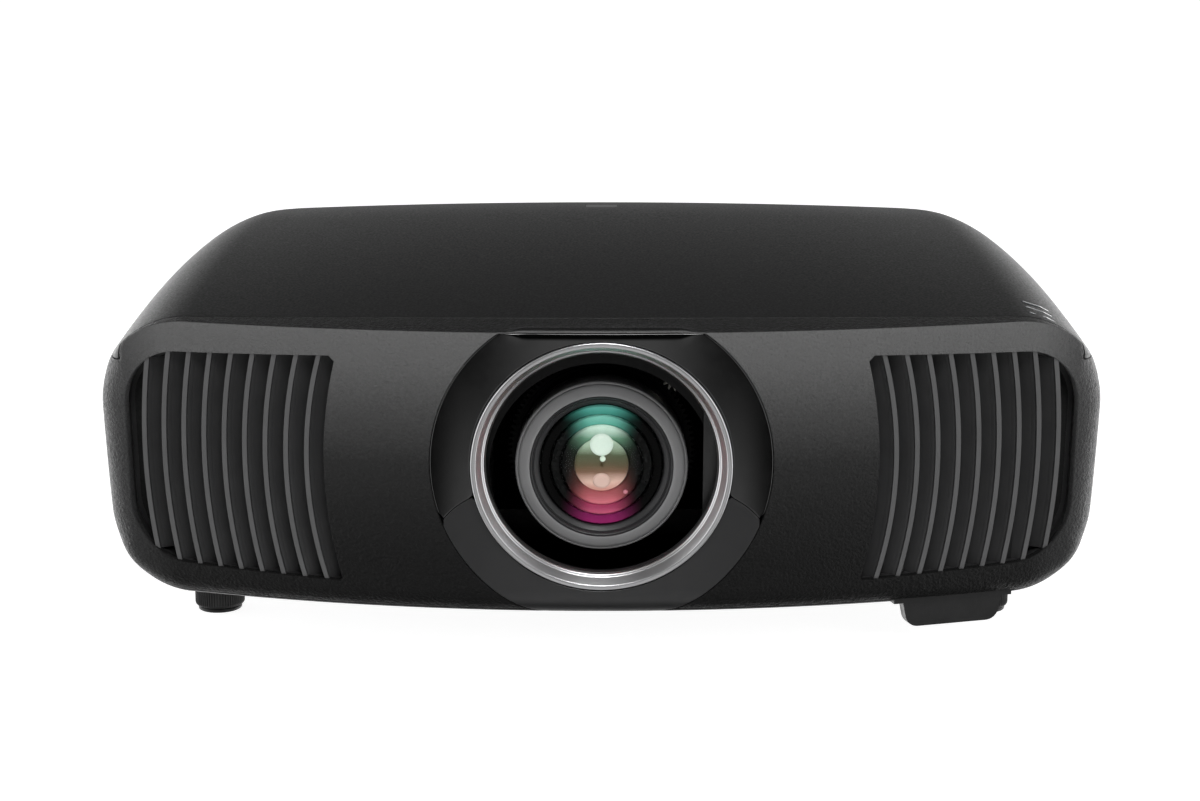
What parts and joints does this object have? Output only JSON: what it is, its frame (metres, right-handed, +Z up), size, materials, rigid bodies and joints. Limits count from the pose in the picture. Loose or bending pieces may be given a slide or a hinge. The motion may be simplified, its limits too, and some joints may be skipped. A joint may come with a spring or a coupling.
{
  "type": "home projector",
  "caption": "Home projector with a bowed front, side grilles, motorised lens behind a sliding shutter, screw feet, filter cassette, keys and rear connectors.",
  "frame": {"origin": "on the table under the middle of the case", "axes": "+X to the viewer's right when facing the lens, +Y from the lens to the connectors, +Z up"},
  "size_m": [0.5198, 0.447, 0.1928],
  "materials": {
    "front_panel": "charcoal with a fine leather grain",
    "top_cover": "matt black",
    "bottom_case": "matt black",
    "rear_panel": "matt black",
    "lens_surround": "gloss black",
    "chin_trim": "satin dark grey",
    "lens_ring": "satin silver",
    "shutter_housing": "light-absorbing black",
    "shutter_leaf_front": "light-absorbing black",
    "shutter_leaf_rear": "light-absorbing black",
    "left_grille": "satin black",
    "right_grille": "satin black",
    "light_guides": "clear light guide",
    "blank_label": "satin",
    "control_plate": "fine texture",
    "power_button": "satin",
    "menu_button": "satin",
    "escape_button": "satin",
    "enter_button": "satin",
    "up_button": "satin",
    "down_button": "satin",
    "left_button": "satin",
    "right_button": "satin",
    "io_plate": "fine texture",
    "hdmi_sockets": "nickel plated",
    "lan_socket": "nickel plated",
    "usb_sockets": "nickel plated",
    "serial_port": "tin plated",
    "trigger_jack": "black",
    "ac_inlet": "black",
    "left_foot_screw": "knurled black",
    "right_foot_screw": "knurled black",
    "left_foot_pad": "soft black",
    "right_foot_pad": "soft black",
    "rear_feet": "soft black",
    "filter_cassette": "black",
    "filter_media": "pleated fleece",
    "shift_base": "die cast",
    "vertical_carriage": "die cast",
    "vertical_screw": "plain",
    "horizontal_screw": "plain",
    "vertical_motor": "dark",
    "horizontal_motor": "dark",
    "lens_barrel": "glass-filled black",
    "front_group": "satin grey",
    "front_glass": "multi-coated",
    "focus_ring": "glass-filled black",
    "zoom_ring": "glass-filled black",
    "focus_pinion": "acetal",
    "zoom_pinion": "acetal",
    "lens_motors": "dark",
    "optical_engine": "die cast",
    "light_source": "die cast",
    "phosphor_wheel": "phosphor coated",
    "fan_frames": "black",
    "left_fan_rotor": "black",
    "right_fan_rotor": "black",
    "power_supply": "circuit board with components",
    "main_board": "circuit board with components",
    "case_screws": "plain"
  },
  "bodies": {
    "case": {"front_panel": "front_panel", "top_cover": "top_cover", "bottom_case": "bottom_case", "rear_panel": "rear_panel", "lens_surround": "lens_surround", "chin_trim": "chin_trim", "lens_ring": "lens_ring", "shutter_housing": "shutter_housing", "left_grille": "left_grille", "right_grille": "right_grille", "light_guides": "light_guides", "blank_label": "blank_label", "control_plate": "control_plate", "io_plate": "io_plate", "hdmi_sockets": "hdmi_sockets", "lan_socket": "lan_socket", "usb_sockets": "usb_sockets", "serial_port": "serial_port", "trigger_jack": "trigger_jack", "ac_inlet": "ac_inlet", "rear_feet": "rear_feet", "shift_base": "shift_base", "vertical_motor": "vertical_motor", "optical_engine": "optical_engine", "light_source": "light_source", "fan_frames": "fan_frames", "power_supply": "power_supply", "main_board": "main_board", "case_screws": "case_screws"},
    "left_pad": {"left_foot_pad": "left_foot_pad"},
    "right_pad": {"right_foot_pad": "right_foot_pad"},
    "left_screw": {"left_foot_screw": "left_foot_screw"},
    "right_screw": {"right_foot_screw": "right_foot_screw"},
    "filter": {"filter_cassette": "filter_cassette", "filter_media": "filter_media"},
    "carriage": {"vertical_carriage": "vertical_carriage", "horizontal_motor": "horizontal_motor"},
    "lens": {"lens_barrel": "lens_barrel", "lens_motors": "lens_motors"},
    "vertical_drive": {"vertical_screw": "vertical_screw"},
    "horizontal_drive": {"horizontal_screw": "horizontal_screw"},
    "lens_front": {"front_group": "front_group", "front_glass": "front_glass"},
    "focus": {"focus_ring": "focus_ring"},
    "zoom": {"zoom_ring": "zoom_ring"},
    "focus_drive": {"focus_pinion": "focus_pinion"},
    "zoom_drive": {"zoom_pinion": "zoom_pinion"},
    "leaf_front": {"shutter_leaf_front": "shutter_leaf_front"},
    "leaf_rear": {"shutter_leaf_rear": "shutter_leaf_rear"},
    "wheel": {"phosphor_wheel": "phosphor_wheel"},
    "left_rotor": {"left_fan_rotor": "left_fan_rotor"},
    "right_rotor": {"right_fan_rotor": "right_fan_rotor"},
    "power_key": {"power_button": "power_button"},
    "menu_key": {"menu_button": "menu_button"},
    "escape_key": {"escape_button": "escape_button"},
    "enter_key": {"enter_button": "enter_button"},
    "up_key": {"up_button": "up_button"},
    "down_key": {"down_button": "down_button"},
    "left_key": {"left_button": "left_button"},
    "right_key": {"right_button": "right_button"}
  },
  "joints": [
    {"name": "left_foot_height", "type": "slide", "parent": "case", "child": "left_pad", "axis": [0, 0, -1], "range_m": [0, 0.015]},
    {"name": "left_foot_turn", "type": "hinge", "parent": "left_pad", "child": "left_screw", "pos_m": [-0.209, -0.112, 0.015], "axis": [0, 0, -1], "range_deg": [0, 3601]},
    {"name": "right_foot_height", "type": "slide", "parent": "case", "child": "right_pad", "axis": [0, 0, -1], "range_m": [0, 0.015]},
    {"name": "right_foot_turn", "type": "hinge", "parent": "right_pad", "child": "right_screw", "pos_m": [0.209, -0.112, 0.015], "axis": [0, 0, -1], "range_deg": [0, 3601]},
    {"name": "filter_pull", "type": "slide", "parent": "case", "child": "filter", "axis": [0, 0, -1], "range_m": [0, 0.11]},
    {"name": "shift_vertical", "type": "slide", "parent": "case", "child": "carriage", "axis": [0, 0, 1], "range_m": [-0.009, 0.009]},
    {"name": "vertical_drive_turn", "type": "hinge", "parent": "case", "child": "vertical_drive", "pos_m": [-0.076, -0.079, 0.1], "axis": [0, 0, 1], "range_deg": [-1621, 1621]},
    {"name": "shift_horizontal", "type": "slide", "parent": "carriage", "child": "lens", "axis": [1, 0, 0], "range_m": [-0.0077, 0.0077]},
    {"name": "horizontal_drive_turn", "type": "hinge", "parent": "carriage", "child": "horizontal_drive", "pos_m": [0, -0.072, 0.1636], "axis": [1, 0, 0], "range_deg": [-1387, 1387]},
    {"name": "focus_turn", "type": "hinge", "parent": "lens", "child": "focus", "pos_m": [0, -0.144, 0.0976], "axis": [0, 1, 0], "range_deg": [-50, 50]},
    {"name": "focus_drive_turn", "type": "hinge", "parent": "lens", "child": "focus_drive", "pos_m": [0.03818, -0.144, 0.13578], "axis": [0, 1, 0], "range_deg": [-401, 401]},
    {"name": "focus_travel", "type": "slide", "parent": "lens", "child": "lens_front", "axis": [0, -1, 0], "range_m": [-0.0015, 0.0015]},
    {"name": "zoom_turn", "type": "hinge", "parent": "lens", "child": "zoom", "pos_m": [0, -0.12, 0.0976], "axis": [0, 1, 0], "range_deg": [-45, 45]},
    {"name": "zoom_drive_turn", "type": "hinge", "parent": "lens", "child": "zoom_drive", "pos_m": [-0.03818, -0.12, 0.13578], "axis": [0, 1, 0], "range_deg": [-361, 361]},
    {"name": "shutter_close", "type": "slide", "parent": "case", "child": "leaf_front", "axis": [-1, 0, 0], "range_m": [0, 0.113]},
    {"name": "shutter_follow", "type": "slide", "parent": "case", "child": "leaf_rear", "axis": [-1, 0, 0], "range_m": [0, 0.0566]},
    {"name": "wheel_spin", "type": "hinge", "parent": "case", "child": "wheel", "pos_m": [-0.088, 0.012, 0.095], "axis": [1, 0, 0], "continuous": true},
    {"name": "left_fan_spin", "type": "hinge", "parent": "case", "child": "left_rotor", "pos_m": [-0.186, -0.14, 0.098], "axis": [0, 1, 0], "continuous": true},
    {"name": "right_fan_spin", "type": "hinge", "parent": "case", "child": "right_rotor", "pos_m": [0.186, -0.14, 0.098], "axis": [0, 1, 0], "continuous": true},
    {"name": "power_press", "type": "slide", "parent": "case", "child": "power_key", "axis": [0.9994, -0.0349, 0], "range_m": [0, 0.0006], "stiffness_N_per_m": 800},
    {"name": "menu_press", "type": "slide", "parent": "case", "child": "menu_key", "axis": [0.9994, -0.0349, 0], "range_m": [0, 0.0006], "stiffness_N_per_m": 800},
    {"name": "escape_press", "type": "slide", "parent": "case", "child": "escape_key", "axis": [0.9994, -0.0349, 0], "range_m": [0, 0.0006], "stiffness_N_per_m": 800},
    {"name": "enter_press", "type": "slide", "parent": "case", "child": "enter_key", "axis": [0.9994, -0.0349, 0], "range_m": [0, 0.0006], "stiffness_N_per_m": 800},
    {"name": "up_press", "type": "slide", "parent": "case", "child": "up_key", "axis": [0.9994, -0.0349, 0], "range_m": [0, 0.0006], "stiffness_N_per_m": 800},
    {"name": "down_press", "type": "slide", "parent": "case", "child": "down_key", "axis": [0.9994, -0.0349, 0], "range_m": [0, 0.0006], "stiffness_N_per_m": 800},
    {"name": "left_press", "type": "slide", "parent": "case", "child": "left_key", "axis": [0.9994, -0.0349, 0], "range_m": [0, 0.0006], "stiffness_N_per_m": 800},
    {"name": "right_press", "type": "slide", "parent": "case", "child": "right_key", "axis": [0.9994, -0.0349, 0], "range_m": [0, 0.0006], "stiffness_N_per_m": 800}
  ],
  "couplings": [
    {"joint": "left_foot_turn", "follows": "left_foot_height", "rad_per_m": 4188.8},
    {"joint": "right_foot_turn", "follows": "right_foot_height", "rad_per_m": 4188.8},
    {"joint": "vertical_drive_turn", "follows": "shift_vertical", "rad_per_m": 3141.6},
    {"joint": "horizontal_drive_turn", "follows": "shift_horizontal", "rad_per_m": 3141.6},
    {"joint": "focus_drive_turn", "follows": "focus_turn", "ratio": -8},
    {"joint": "focus_travel", "follows": "focus_turn", "m_per_rad": 0.0017},
    {"joint": "zoom_drive_turn", "follows": "zoom_turn", "ratio": -8},
    {"joint": "shutter_follow", "follows": "shutter_close", "ratio": 0.5}
  ]
}
